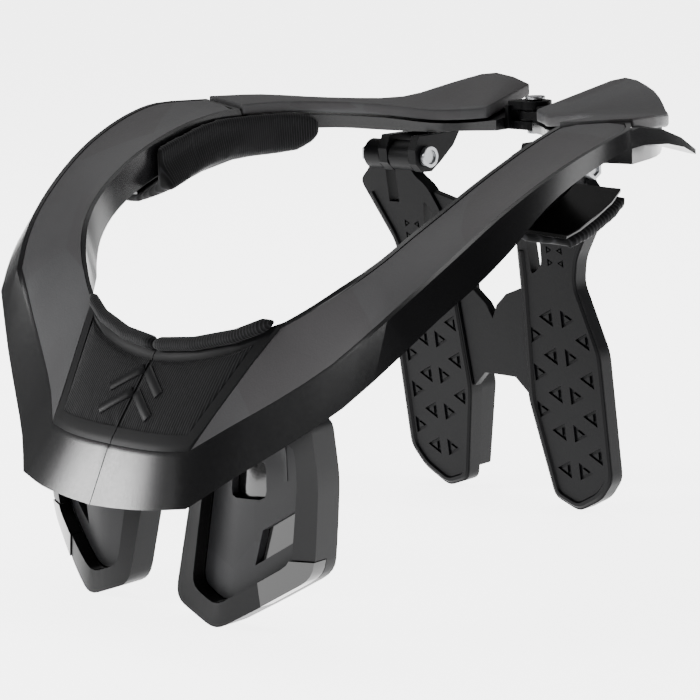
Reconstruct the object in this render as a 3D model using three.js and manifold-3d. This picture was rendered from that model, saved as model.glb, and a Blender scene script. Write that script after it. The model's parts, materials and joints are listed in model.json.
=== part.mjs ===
// Rigid neck brace in two hinged halves, millimetres, +Z up.
// Front (chin side) faces -Y, the wearer's left is +X, and the feet of the struts stand on Z = 0.
// Every sided piece is modelled once on the +X side and mirrored for the other side.
import * as THREE from 'three';
import { mergeVertices } from 'three/addons/utils/BufferGeometryUtils.js';
import Module from 'manifold-3d';

const wasm = await Module();
wasm.setup();

// ---- Driving dimensions ----
const neckWidth = 174;          // clear width between the inner top rails at the shoulders
const neckLength = 171;         // from the chin seam's inner edge to the rear inner edge
const barWidth = 34;            // width of the top face over the shoulders
const gap = 0.3;                // clearance between touching pieces
const foamClear = 1;            // loose fit of the foam core in its tray
const seamGap = 0.4;            // opening between the two halves at the chin
const wallThickness = 2.2;      // chassis side walls
const floorThickness = 2.4;     // chassis floor
const coverThickness = 1.8;     // moulded top skin
const coverCrown = 0.7;         // rise of the skin between its edges
const tableThickness = 5.2;     // raised helmet table at the back
const tableGap = 1;             // shadow gap under the table, whose underside is twisted
const rimWidth = 4.6;           // raised border of the chin plate
const rimRise = 1.5;            // how far that border stands above the walls
const padThickness = 3.8;       // shoulder pad foam and fabric
const shellThickness = 1.3;     // gloss plate on the shoulder pad
const legThickness = 6;
const legRibDepth = 9;          // stiffening rib behind the inner edge of a strut
const legSlotWidth = 5.4;
const lugTongue = 4.6;          // tongue of the lug inside the strut's slot
const lugCheek = 4;
const boltRadius = 2.4;
const bushWall = 1.4;
const webThickness = 4;
const paddleThickness = 3;
const linerThickness = 1;
const paddleRimDepth = 10;
const paddleRimWidth = 7.5;
const clipDepth = 5;            // gloss clip let into the front of the paddle rim
const paddlePinRadius = 1.8;
const knuckleRadius = 6.6;
const hingePinRadius = 2.4;
const latchWidth = 13;          // half of the latch, across the seam
const latchHeight = 14;
const latchDepth = 7;
const buttonRadius = 2.6;

// ---- Helpers ----
const V = (x, y, z) => new THREE.Vector3(x, y, z);
const lerp = (a, b, t) => a.clone().lerp(b, t);

function toSolid(geometry) {
  const bare = geometry.clone();
  bare.deleteAttribute('normal');
  bare.deleteAttribute('uv');
  const merged = mergeVertices(bare, 1e-4);
  const mesh = new wasm.Mesh({
    numProp: 3,
    vertProperties: new Float32Array(merged.attributes.position.array),
    triVerts: new Uint32Array(merged.index.array),
  });
  return new wasm.Manifold(mesh);
}

function toGeometry(solid) {
  const mesh = solid.getMesh();
  const geometry = new THREE.BufferGeometry();
  geometry.setAttribute('position', new THREE.BufferAttribute(new Float32Array(mesh.vertProperties), 3));
  geometry.setIndex(new THREE.BufferAttribute(new Uint32Array(mesh.triVerts), 1));
  geometry.computeVertexNormals();
  return geometry;
}

function join(...geometries) {
  return toGeometry(geometries.map(toSolid).reduce((a, b) => a.add(b)));
}

function cut(body, ...tools) {
  return toGeometry(tools.map(toSolid).reduce((a, b) => a.subtract(b), toSolid(body)));
}

// Closed skin through a row of sections that all have the same number of points.
function loft(sections, flatOutline) {
  const count = flatOutline.length;
  const positions = sections.flat().flatMap((p) => [p.x, p.y, p.z]);
  const index = [];
  for (let s = 0; s < sections.length - 1; s += 1) {
    for (let k = 0; k < count; k += 1) {
      const a = s * count + k;
      const b = s * count + ((k + 1) % count);
      index.push(a, b, b + count, a, b + count, a + count);
    }
  }
  const last = (sections.length - 1) * count;
  const turn = Math.sign(THREE.ShapeUtils.area(flatOutline));
  for (const face of THREE.ShapeUtils.triangulateShape(flatOutline, [])) {
    const sameWay = THREE.ShapeUtils.area(face.map((i) => flatOutline[i])) * turn > 0;
    const [i, j, k] = sameWay ? face : face.reverse();
    index.push(k, j, i, last + i, last + j, last + k);
  }
  const geometry = new THREE.BufferGeometry();
  geometry.setAttribute('position', new THREE.Float32BufferAttribute(positions, 3));
  geometry.setIndex(index);
  if (signedVolume(geometry) < 0) {
    geometry.setIndex(Array.from({ length: index.length }, (_, i) => index[i - (i % 3) + 2 - (i % 3)]));
  }
  geometry.computeVertexNormals();
  return geometry;
}

function signedVolume(geometry) {
  const p = geometry.attributes.position;
  const at = (i) => new THREE.Vector3().fromBufferAttribute(p, geometry.index.getX(i));
  let total = 0;
  for (let i = 0; i < geometry.index.count; i += 3) {
    total += at(i).dot(at(i + 1).cross(at(i + 2)));
  }
  return total;
}

// Flat plate: outline in the X-Z plane, extruded along +Y from y = front.
function plate(outline, front, thickness, holes = []) {
  const points = outline.map(([x, z]) => new THREE.Vector2(x, z));
  const shape = new THREE.Shape(THREE.ShapeUtils.isClockWise(points) ? points.reverse() : points);
  shape.holes = holes.map((hole) => new THREE.Path(hole.map(([x, z]) => new THREE.Vector2(x, z))));
  const geometry = new THREE.ExtrudeGeometry(shape, { depth: thickness, bevelEnabled: false });
  geometry.rotateX(Math.PI / 2);
  geometry.translate(0, front + thickness, 0);
  return geometry;
}

// Profile in the Y-Z plane, extruded along +X from x = start.
function sidePlate(outline, start, thickness) {
  const shape = new THREE.Shape(outline.map(([y, z]) => new THREE.Vector2(y, z)));
  const geometry = new THREE.ExtrudeGeometry(shape, { depth: thickness, bevelEnabled: false });
  geometry.rotateY(Math.PI / 2);
  geometry.rotateX(Math.PI / 2);
  geometry.translate(start, 0, 0);
  return geometry;
}

function rodX(radius, x0, x1, y, z, sides = 20) {
  const geometry = new THREE.CylinderGeometry(radius, radius, x1 - x0, sides);
  geometry.rotateZ(Math.PI / 2);
  geometry.translate((x0 + x1) / 2, y, z);
  return geometry;
}

function rodZ(radius, x, y, z0, z1, sides = 24) {
  const geometry = new THREE.CylinderGeometry(radius, radius, z1 - z0, sides);
  geometry.rotateX(Math.PI / 2);
  geometry.translate(x, y, (z0 + z1) / 2);
  return geometry;
}

function block(x0, x1, y0, y1, z0, z1) {
  const geometry = new THREE.BoxGeometry(x1 - x0, y1 - y0, z1 - z0);
  geometry.translate((x0 + x1) / 2, (y0 + y1) / 2, (z0 + z1) / 2);
  return geometry;
}

// Rounds the corners of an outline with short arcs.
function rounded(outline, radius, steps = 4) {
  const n = outline.length;
  const result = [];
  for (let i = 0; i < n; i += 1) {
    const here = new THREE.Vector2(...outline[i]);
    const before = new THREE.Vector2(...outline[(i + n - 1) % n]);
    const after = new THREE.Vector2(...outline[(i + 1) % n]);
    const reachIn = Math.min(radius, here.distanceTo(before) * 0.45);
    const reachOut = Math.min(radius, here.distanceTo(after) * 0.45);
    const start = here.clone().add(before.sub(here).setLength(reachIn));
    const end = here.clone().add(after.sub(here).setLength(reachOut));
    const curve = new THREE.QuadraticBezierCurve(start, here, end);
    result.push(...curve.getPoints(steps).map((p) => [p.x, p.y]));
  }
  return result;
}

// ---- The bar: four rails from the chin seam to the rear hinge ----
// Each station holds the inner top, outer top, outer bottom and inner bottom corner of the bar.
const kx = neckWidth / 174;
const ky = neckLength / 171;
const outward = barWidth - 34;
const station = (it, ot, drop, innerDrop, spread = 1) => {
  const inner = V(it[0] * kx, it[1] * ky, it[2]);
  const outer = V(ot[0] * kx + outward * spread, ot[1] * ky, ot[2]);
  return {
    inner,
    outer,
    outerLow: outer.clone().add(V(...drop)),
    innerLow: inner.clone().add(V(...innerDrop)),
  };
};
const seamX = seamGap / 2;
const chinStations = [
  station([seamX, -94, 93], [seamX, -120.6, 60.3], [0, -8.9, -17.3], [0, -4, -16], 0),
  station([18, -92.3, 94.6], [12, -120.3, 60.4], [1.5, -9, -16.6], [0, -3.5, -16], 0),
  station([35, -88.4, 98], [24, -119.2, 60.9], [4, -8.6, -15.9], [0.4, -3, -15.6], 0),
  station([49.6, -82.5, 103.3], [35.2, -116.7, 62], [7.8, -7.3, -15], [1, -2, -15], 0),
];
const fasciaStations = [
  chinStations[3],
  station([55.5, -79.3, 107], [47, -107.6, 70.4], [8, -7, -13.8], [1, -1.5, -14.6], 0.2),
  station([61, -75.7, 111], [61, -99.3, 79.3], [8.6, -6, -12.2], [-1.4, -1, -14.3], 0.4),
  station([66, -72, 115], [78.5, -90.2, 91.6], [9, -4, -10.6], [-3, 0, -14], 0.7),
  station([71.4, -67.2, 119.4], [96, -81.4, 108.1], [8.8, -1.4, -8.8], [-4.2, 0.6, -13.7]),
];
const sideStations = [
  fasciaStations[4],
  station([76, -62.2, 124], [102.8, -72.4, 117.4], [8.2, -0.8, -8.4], [-3, 0.8, -13.4]),
  station([80.4, -54.6, 130.3], [108.6, -61.6, 126.8], [8, -0.2, -8.6], [-1.2, 0.6, -13.2]),
  station([84, -43.9, 137], [113.4, -47, 137.4], [5.6, 0, -9.2], [0.4, 0.3, -13]),
  station([86.4, -29.6, 144.6], [117.6, -30.4, 147], [3, 0, -6.6], [0.6, 0, -13]),
  station([87, -14.3, 150.9], [120.3, -14.3, 154], [2, 0, -5.6], [0.4, 0, -13]),
  station([86, 0.5, 155.6], [121.8, 1, 158.8], [1.6, 0, -5.4], [0.2, 0, -12.6]),
  station([83.9, 12, 158], [120.6, 12, 161], [1.4, 0, -5.4], [0, 0, -12]),
  station([81.4, 21.4, 159.4], [108.4, 28.2, 161.6], [0.6, 0, -7], [0, 0, -12], 0.4),
];
const rearFloor = 146.8;
const rear = (it, ot, lift) => {
  const s = station(it, ot, [0, 0, 0], [0, 0, 0], 0.4);
  s.outerLow.z = rearFloor;
  s.innerLow.z = rearFloor + lift;
  return s;
};
const rearStations = [
  rear([80.9, 22.6, 155.4], [108, 29.4, 157.2], 1),
  rear([77.4, 42, 155], [101, 52, 156], 2),
  rear([66, 59, 153.8], [85, 76, 153.2], 2),
  rear([48, 70.4, 152.3], [66.4, 99, 152.2], 0.6),
  rear([30, 77.2, 150.4], [50, 111, 156.8], 0.2),
  rear([20, 86.4, 150], [32, 117, 160.2], 0),
  rear([9.4, 92.4, 151], [9.4, 119, 153.6], 0),
];

// Rails are smooth between the corners of the fascia and keep a crease at each corner.
function smooth(stations, steps) {
  const keys = ['inner', 'outer', 'outerLow', 'innerLow'];
  const curves = keys.map((key) => new THREE.CatmullRomCurve3(stations.map((s) => s[key]), false, 'centripetal'));
  const count = (stations.length - 1) * steps;
  return Array.from({ length: count + 1 }, (_, i) => {
    const points = curves.map((curve) => curve.getPoint(i / count));
    return { inner: points[0], outer: points[1], outerLow: points[2], innerLow: points[3] };
  });
}
const chinRun = smooth(chinStations, 3);
const fasciaRun = smooth(fasciaStations, 2);
const sideRun = smooth(sideStations, 3);
const rearRun = smooth(rearStations, 3);

// A place in a section: u across from the inner rail to the outer, v down from top to bottom,
// each as a share plus a distance in millimetres.
function place(s, [u, uMm, v, vMm]) {
  const across = u + uMm / s.inner.distanceTo(s.outer);
  const top = lerp(s.inner, s.outer, across);
  const low = lerp(s.innerLow, s.outerLow, across);
  const down = v + vMm / top.distanceTo(low);
  return lerp(top, low, down);
}
function barLoft(run, profile) {
  const flat = profile.map(([u, uMm, v, vMm]) => new THREE.Vector2(u * 100 + uMm, -v * 40 - vMm));
  return loft(run.map((s) => profile.map((p) => place(s, p))), flat);
}
const between = (a, b, t) => ({
  inner: lerp(a.inner, b.inner, t),
  outer: lerp(a.outer, b.outer, t),
  outerLow: lerp(a.outerLow, b.outerLow, t),
  innerLow: lerp(a.innerLow, b.innerLow, t),
});

const wall = wallThickness;
const trayRun = [...chinRun, ...fasciaRun.slice(1), ...sideRun.slice(1)];
const bulkhead = between(sideRun.at(-2), sideRun.at(-1), 0.5);
const solidProfile = [[0, 0, 0, 0], [0, 0, 1, 0], [1, 0, 1, 0], [1, 0, 0, 0]];

function chassis() {
  const tray = barLoft(trayRun, [
    [0, 0, 0, 0], [0, 0, 1, 0], [1, 0, 1, 0], [1, 0, 0, 0],
    [1, -wall, 0, 0], [1, -wall, 1, -floorThickness], [0, wall, 1, -floorThickness], [0, wall, 0, 0],
  ]);
  const back = barLoft([bulkhead, sideRun.at(-1), ...rearRun], solidProfile);
  const o = outward * 0.8;
  const wing = loft([
    [V(110, 4, 157.4), V(121.4 + o, 6, 159.6), V(123 + o, 6, 154.6), V(110, 4, 153.4)],
    [V(106.5, 20, 160.4), V(119.4 + o, 19, 161), V(121.4 + o, 19, 155.2), V(106.5, 20, 153)],
    [V(105, 34, 160), V(118 + o, 34, 158.8), V(120 + o, 34, 154), V(105, 34, 152.6)],
    [V(106, 49, 157), V(115.6 + o, 47, 154.8), V(117 + o, 47, 151.4), V(106, 48, 151)],
    [V(109.4, 60.6, 149.6), V(112.6 + o, 59.4, 149.2), V(112.8 + o, 59.2, 147.4), V(109.4, 60.4, 147.4)],
  ].map((ring) => ring.map((p) => V(p.x * kx, p.y * ky, p.z))), [
    new THREE.Vector2(0, 0), new THREE.Vector2(1, 0), new THREE.Vector2(1, -1), new THREE.Vector2(0, -1),
  ]);
  const room = barLoft([...sideRun.slice(0, -1), bulkhead], [
    [0, wall, 0, -4], [0, wall, 1, -floorThickness], [1, -wall, 1, -floorThickness], [1, -wall, 0, -4],
  ]);
  return join(tray, back, cut(wing, room, tableShape(0, gap, tableThickness * 2)));
}

const coverFoot = 0.2 + coverThickness;
const foamEnd = 10;             // the bar is too flat for foam behind this section
function foamCore() {
  const start = between(chinRun[0], chinRun[1], 0.1);
  const inset = wall + foamClear;
  return barLoft([start, ...chinRun.slice(1), ...fasciaRun.slice(1), ...sideRun.slice(1, foamEnd)], [
    [0, inset, 0, coverFoot + foamClear], [0, inset, 1, -floorThickness - foamClear],
    [1, -inset, 1, -floorThickness - foamClear], [1, -inset, 0, coverFoot + foamClear],
  ]);
}

function topCover() {
  const inset = wall + gap;
  const start = between(fasciaRun[0], fasciaRun[1], 0.08);
  const end = between(sideRun.at(-2), bulkhead, 0.55);
  return barLoft([start, ...fasciaRun.slice(1), ...sideRun.slice(1, -1), end], [
    [0, inset, 0, coverFoot], [1, -inset, 0, coverFoot], [1, -inset, 0, 0.2],
    [0.7, 0, 0, -coverCrown], [0.3, 0, 0, -coverCrown], [0, inset, 0, 0.2],
  ]);
}

function chinRim() {
  const inset = wall + gap;
  const open = chinRun.slice(0, -1);
  const last = between(chinRun.at(-2), chinRun.at(-1), 0.94);
  const tray = barLoft([...open, last], [
    [0, inset, 0, coverFoot], [1, -inset, 0, coverFoot],
    [1, -inset, 0, -rimRise + 0.8], [1, -inset - 1, 0, -rimRise], [1, -inset - rimWidth, 0, -rimRise],
    [1, -inset - rimWidth, 0, 0.6], [0, inset + rimWidth, 0, 0.6],
    [0, inset + rimWidth, 0, -rimRise], [0, inset + 1, 0, -rimRise], [0, inset, 0, -rimRise + 0.8],
  ]);
  const side = barLoft([chinRun.at(-2), last], [
    [0, inset, 0, coverFoot], [1, -inset, 0, coverFoot],
    [1, -inset, 0, -rimRise + 0.8], [1, -inset - 1, 0, -rimRise],
    [0, inset + 1, 0, -rimRise], [0, inset, 0, -rimRise + 0.8],
  ]);
  return join(tray, side);
}

function chinPad() {
  const inset = wall + rimWidth + 3 * gap;
  const end = between(chinRun.at(-3), chinRun.at(-2), 0.86);
  return barLoft([...chinRun.slice(0, -2), end], [
    [0, inset, 0, 0.6 - gap], [1, -inset, 0, 0.6 - gap], [1, -inset, 0, -0.6],
    [1, -inset - 3, 0, -1.2], [0, inset + 3, 0, -1.2], [0, inset, 0, -0.6],
  ]);
}

// ---- Helmet table over the back of the bar ----
const tableOverhang = [0.4, 2.2, 2.4, 2.6, 4.4, 4.6, 4.8];   // past the chassis, station by station
function tableShape(sink, spread, thickness) {
  const steps = 3;
  const sections = rearRun.slice(0, -1).map((s, i) => {
    const k = Math.min(Math.floor(i / steps), tableOverhang.length - 2);
    const overhang = THREE.MathUtils.lerp(tableOverhang[k], tableOverhang[k + 1], i / steps - k);
    const reach = overhang + spread;
    return [[0, 0, 0, sink], [1, reach, 0, sink], [1, reach, 0, sink - thickness], [0, 0, 0, sink - thickness]]
      .map((p) => place(s, p));
  });
  return loft(sections, [
    new THREE.Vector2(0, -1), new THREE.Vector2(10, -1), new THREE.Vector2(10, 0), new THREE.Vector2(0, 0),
  ]);
}
const rearTable = () => tableShape(-tableGap, 0, tableThickness - tableGap + gap);

// ---- Shoulder pad: a strip on the inner wall that turns out below the bar ----
// [wall x, wall y, inward direction in degrees, top z, bottom z, flange outer x, y, z, reach of the lower lip]
const padStations = [
  [86.9, -20, 180, 147.8, 133.6, 119, -16.5, 127.2, 7],
  [87.1, -14, 180, 150, 136, 121, -12, 129.2, 6.4],
  [86.6, -5, 181, 153, 139, 121.6, -4, 132.6, 5.2],
  [85.4, 4, 186, 155.6, 141.4, 121.6, 4, 136.2, 4],
  [84.2, 11, 190, 156.8, 142.6, 119.6, 11.6, 139.6, 3.2],
  [83, 16, 193, 157.2, 143.4, 88, 17, 142.6, 2.6],
  [80.8, 24, 196, 157.4, 143.8, 80.8, 24, 143, 2],
  [78.6, 36, 202, 157.2, 143.8, 78.6, 36, 143, 1.4],
  [75, 46, 214, 156.4, 144.6, 75, 46, 144, 1],
  [72, 51.4, 222, 155, 147.4, 72, 51.4, 146.8, 0.6],
  [69.8, 54.4, 228, 152.8, 150.6, 69.8, 54.4, 150, 0.2],
];
const padOff = 0.9;
const flangeStart = 0.35;        // share of the way out at which the flange levels off
function padSections(build) {
  return padStations.map(([x, y, degrees, top, low, fx, fy, fz, lip]) => {
    const turn = THREE.MathUtils.degToRad(degrees);
    const inward = V(Math.cos(turn), Math.sin(turn), 0);
    const root = V(x * kx, y * ky, 0).addScaledVector(inward, padOff);
    const face = root.clone().addScaledVector(inward, padThickness);
    const wide = fx > 86;
    const flange = V(fx * kx + (wide ? outward : 0), fy * ky, fz).addScaledVector(inward, wide ? 0 : padOff);
    const level = lerp(root, flange, flangeStart).setZ(fz + (low - fz) * 0.2);
    const lipOut = face.clone().addScaledVector(inward, lip);
    return build({ root, face, flange, level, lipOut, top, low });
  });
}
function shoulderPad() {
  const sections = padSections(({ root, face, flange, level, lipOut, top, low }) => [
    V(face.x, face.y, top - 1), V(root.x, root.y, top), V(root.x, root.y, low + 0.4),
    level, flange, V(flange.x, flange.y, flange.z - padThickness), V(level.x, level.y, level.z - padThickness),
    V(face.x, face.y, low - padThickness), V(lipOut.x, lipOut.y, low - padThickness + 1.8),
    V(face.x, face.y, (top + low) / 2),
  ]);
  return loft(sections, [
    new THREE.Vector2(-4, 20), new THREE.Vector2(0, 21), new THREE.Vector2(0, 6), new THREE.Vector2(10, 3),
    new THREE.Vector2(30, 2), new THREE.Vector2(30, -2), new THREE.Vector2(10, -1), new THREE.Vector2(-4, 0),
    new THREE.Vector2(-8, 2), new THREE.Vector2(-4, 10),
  ]);
}
function shoulderShell() {
  const sections = padSections(({ level, flange }) => {
    const a = lerp(level, flange, 0.06).add(V(0, 0, gap));
    const b = lerp(level, flange, 0.9).add(V(0, 0, gap));
    const rise = V(0, 0, shellThickness);
    return [a, b, b.clone().add(rise), a.clone().add(rise)];
  }).slice(0, 5);
  return loft(sections, [
    new THREE.Vector2(0, 0), new THREE.Vector2(10, 0), new THREE.Vector2(10, 1), new THREE.Vector2(0, 1),
  ]);
}

// ---- Back struts: lug, bolt, bushes and leg ----
const pivotY = 70 * ky;
const pivotZ = 138;
const legShift = 46.5 * (kx - 1);   // the struts move out with the shoulders
const barrelRadius = 6;
const legLean = 0.14;            // how far a strut leans back for each millimetre down
const legOuter = 55.6 + legShift;
const slotCentre = 44.6 + legShift;
const barrelInner = 31 + legShift;
const slotX = [slotCentre - legSlotWidth / 2, slotCentre + legSlotWidth / 2];
const tongueX = [slotCentre - lugTongue / 2, slotCentre + lugTongue / 2];
const cheekX = [barrelInner - gap - lugCheek, barrelInner - gap];
const shifted = (outline) => outline.map(([x, z]) => [x + legShift, z]);

// Struts are drawn upright in the plane of the pivot and then leaned back.
function lean(geometry) {
  const p = geometry.attributes.position;
  for (let i = 0; i < p.count; i += 1) {
    p.setY(i, p.getY(i) + (pivotZ - p.getZ(i)) * legLean);
  }
  geometry.computeVertexNormals();
  return geometry;
}
const legFront = pivotY - legThickness / 2;
const legBack = pivotY + legThickness / 2;

function leg() {
  const outline = shifted([
    [14.8, 44], [17.6, 90], [18, 108], [20.4, 117], [26, 126.4], [33, 131.2], [35, 140], [55.6, 140],
    [55.6, 133], [62.4, 127], [47.6, 103], [45.4, 93], [54, 66], [53.4, 15], [47, 6.6], [34.6, -0.3], [22.8, 4.2],
  ]);
  const slit = rounded(shifted([[28.6, 121], [30, 109], [29.4, 99], [23.8, 94.6], [23.2, 108], [24.8, 116]]), 2, 2);
  const body = plate(rounded(outline, 3, 3), legFront, legThickness, [slit]);
  const edge = shifted([[18.2, 90], [22, 90], [19.6, 44], [28, 9], [24, 8], [15.4, 44]]);
  const rib = plate(rounded(edge, 1.2, 2), legBack - 1, legRibDepth + 1);
  const barrels = rodX(barrelRadius, barrelInner, legOuter, pivotY, pivotZ, 28);
  const slot = block(slotX[0], slotX[1], pivotY - 30, pivotY + 30, 119, 170);
  const bore = rodX(boltRadius + bushWall + gap, 0, legOuter + 20, pivotY, pivotZ);
  return cut(join(lean(join(body, rib)), barrels), slot, bore);
}

function lug() {
  const ear = [
    [pivotY - 4, 146.4], [pivotY - 6.4, 141], [pivotY - 6, 135.4], [pivotY - 2.4, 132], [pivotY + 3, 131.8],
    [pivotY + 8, 135], [pivotY + 16, 141], [pivotY + 20, 146.4],
  ];
  const cheek = sidePlate(ear, cheekX[0], lugCheek);
  const tongue = sidePlate(ear, tongueX[0], lugTongue);
  const base = block(cheekX[0], tongueX[1], pivotY + 10, pivotY + 18, 143.4, 146.4);
  return cut(join(cheek, tongue, base), rodX(boltRadius + gap, 0, legOuter + 20, pivotY, pivotZ));
}

function legBolt() {
  const shank = rodX(boltRadius, cheekX[0] - 1, legOuter + 1.6, pivotY, pivotZ);
  const head = rodX(4.2, cheekX[0] - 2.6, cheekX[0] - gap, pivotY, pivotZ, 24);
  const nut = rodX(4.2, legOuter + gap, legOuter + 3, pivotY, pivotZ, 6);
  return join(shank, head, nut);
}

function legBush(x0, x1) {
  return cut(
    rodX(boltRadius + bushWall, x0, x1, pivotY, pivotZ),
    rodX(boltRadius + gap, x0 - 1, x1 + 1, pivotY, pivotZ),
  );
}

const mirrored = (points) => [...points, ...points.map(([x, z]) => [-x, z]).reverse()];
function strutWeb() {
  const side = shifted([[17.5 - gap, 89], [14.8 - gap, 45]]);
  const outline = mirrored([[2.6, 80.6], [8, 85.4], ...side, [8, 51.4]]);
  outline.push([0, 75.4]);
  return lean(plate(outline, pivotY - webThickness / 2, webThickness));
}
function crossLink() {
  const side = shifted([[24.6 - gap, 124.6], [20 - gap, 116.6]]);
  const outline = mirrored([[10, 121], ...side, [8, 111.6]]);
  return lean(plate(outline, pivotY - webThickness / 2, webThickness));
}

// ---- Chest paddles: bent plates hung from the chin ----
const paddlePivotY = -89 * ky;
const paddlePivotZ = 71;
const paddleShift = 50 * (kx - 1);
const paddleX = [47 + paddleShift, 61 + paddleShift];
const paddleEye = 3.3;           // radius of the paddle's tab round its pin
const paddleEar = 3.2;
const paddleMove = (outline) => outline.map(([x, z]) => [x + paddleShift, z]);
const paddleFace = (px, z) => {
  const x = px - paddleShift;
  const twist = 0.28 - 0.0065 * (x - 12);      // the inner edge leans back, the outer edge stands upright
  return paddlePivotY - 15 + twist * (z - 8) + 15 * (Math.max(0, x - 34) / 36) ** 1.5;
};
const paddleCorners = paddleMove([[11.6, 64], [12.4, 7], [33.5, -0.8], [50, 9], [68, 20.5], [73, 54], [73, 75.4]]);
const paddleOutline = rounded(paddleCorners, 5, 4);

function slab(front, back) {
  const xs = Array.from({ length: 23 }, (_, i) => 4 + paddleShift + i * 3.4);
  const levels = Array.from({ length: 13 }, (_, i) => -6 + i * 8);
  const up = levels.map((z) => [0, z]);
  const down = levels.map((z) => [1, z]).reverse();
  const ring = [...up, ...down];
  const sections = xs.map((x) => ring.map(([side, z]) => V(x, paddleFace(x, z) + (side ? back : front), z)));
  return loft(sections, ring.map(([side, z]) => new THREE.Vector2(side, z)));
}
function meet(a, b) {
  return toGeometry(toSolid(a).intersect(toSolid(b)));
}
// Moves every edge of a convex outline inwards.
function inset(outline, distance) {
  const n = outline.length;
  const area = outline.reduce((sum, [x, z], i) => {
    const [u, w] = outline[(i + 1) % n];
    return sum + x * w - u * z;
  }, 0);
  const turn = Math.sign(area);
  const lines = outline.map(([x, z], i) => {
    const [u, w] = outline[(i + 1) % n];
    const d = new THREE.Vector2(u - x, w - z).normalize();
    const point = new THREE.Vector2(x - d.y * distance * turn, z + d.x * distance * turn);
    return { point, d };
  });
  return lines.map((line, i) => {
    const prior = lines[(i + n - 1) % n];
    const cross = prior.d.x * line.d.y - prior.d.y * line.d.x;
    const delta = line.point.clone().sub(prior.point);
    const t = (delta.x * line.d.y - delta.y * line.d.x) / cross;
    return [prior.point.x + prior.d.x * t, prior.point.y + prior.d.y * t];
  });
}
const tall = (outline) => plate(outline, paddlePivotY - 51, 100);
const clipRegion = (grow) => paddleMove([
  [49 - grow, 22], [51.4 - grow, 2], [78, 2], [78, 26 + grow], [60, 26 + grow * 1.4],
]);
function paddleRim() {
  const ring = meet(slab(0, paddleRimDepth), tall(paddleOutline));
  const clipRoom = meet(slab(-1, clipDepth + gap), tall(clipRegion(gap)));
  const notch = block(paddleX[0] - 0.8, paddleX[1] + 2.4, paddlePivotY - 51, paddlePivotY + 49, paddlePivotZ - 8.5, 90);
  const tabRoom = block(paddleX[0] + paddleEar, paddleX[1] - paddleEar, paddlePivotY - 51, paddlePivotY + 49, paddlePivotZ - 14, 90);
  return cut(ring, tall(rounded(inset(paddleCorners, paddleRimWidth), 4, 3)), clipRoom, notch, tabRoom);
}
function paddleClip() {
  const ring = meet(slab(-0.6, clipDepth), tall(paddleOutline));
  return meet(cut(ring, tall(rounded(inset(paddleCorners, paddleRimWidth), 4, 3))), tall(clipRegion(0)));
}
function paddlePlate() {
  const face = meet(slab(5.4, 5.4 + paddleThickness), tall(rounded(inset(paddleCorners, paddleRimWidth + gap), 4, 3)));
  const strapSlot = tall(paddleMove([[44, 21.6], [61, 32.6], [62.4, 41.4], [60, 42], [47, 34]]));
  const window = tall(rounded(paddleMove([[31, 43], [48.6, 44.4], [48.6, 57.6], [31, 56.4]]), 3, 2));
  const y = paddlePivotY;
  const z = paddlePivotZ;
  const tabX = paddleX[0] + paddleEar + gap;
  const tabWidth = paddleX[1] - paddleX[0] - 2 * (paddleEar + gap);
  const base = paddleFace((paddleX[0] + paddleX[1]) / 2, z - 19) + 5.8;
  const tab = sidePlate([
    [base, z - 19], [base + 2.6, z - 19], [base + 2.6, z - 11], [y + paddleEye, z - 8], [y + paddleEye, z],
    [y, z + paddleEye], [y - paddleEye, z], [y - paddleEye, z - 6], [base, z - 10],
  ], tabX, tabWidth);
  const bore = rodX(paddlePinRadius + gap, 0, paddleX[1] + 20, paddlePivotY, paddlePivotZ);
  return cut(join(cut(face, strapSlot, window), tab), bore);
}
// Thin dark sheet behind the plate; it closes the slot and most of the window.
function paddleLiner() {
  const front = 5.4 + paddleThickness + gap;
  const inside = tall(rounded(inset(paddleCorners, paddleRimWidth + gap), 4, 3));
  const sheet = meet(slab(front, front + linerThickness), inside);
  const tabRoom = block(paddleX[0] - 1.4, 120 + paddleShift, paddlePivotY - 51, paddlePivotY + 49, 49.6, 90);
  const bracketRoom = block(0, 120 + paddleShift, paddlePivotY - 51, paddlePivotY + 49, 60, 90);
  return cut(sheet, tabRoom, bracketRoom);
}
const envelope = () => barLoft(trayRun, [[0, 0, 0, 0], [0, 0, 1, gap], [1, 0, 1, gap], [1, 0, 0, 0]]);
function paddleBracket() {
  const y = paddlePivotY;
  const z = paddlePivotZ;
  const ear = [
    [y - 6, z + 12], [y - 3.8, z], [y, z - 3.6], [y + 3.8, z], [y + 5, z + 17.5],
  ];
  const ears = [paddleX[0], paddleX[1] - paddleEar].map((x) => sidePlate(ear, x, paddleEar));
  const run = [chinRun.at(-3), chinRun.at(-1), fasciaRun[2], fasciaRun[4]];
  const base = barLoft(run, [[0.04, 0, 1, 0], [0.36, 0, 1, 0], [0.36, 0, 1, 2.4], [0.04, 0, 1, 2.4]]);
  const bore = rodX(paddlePinRadius + gap, 0, paddleX[1] + 20, paddlePivotY, paddlePivotZ);
  return cut(join(base, ...ears), envelope(), bore);
}
function paddlePin() {
  const shank = rodX(paddlePinRadius, paddleX[0] - 0.6, paddleX[1] + 0.6, paddlePivotY, paddlePivotZ);
  const head = rodX(3, paddleX[1] + gap, paddleX[1] + 1.8, paddlePivotY, paddlePivotZ);
  return join(shank, head);
}

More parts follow.
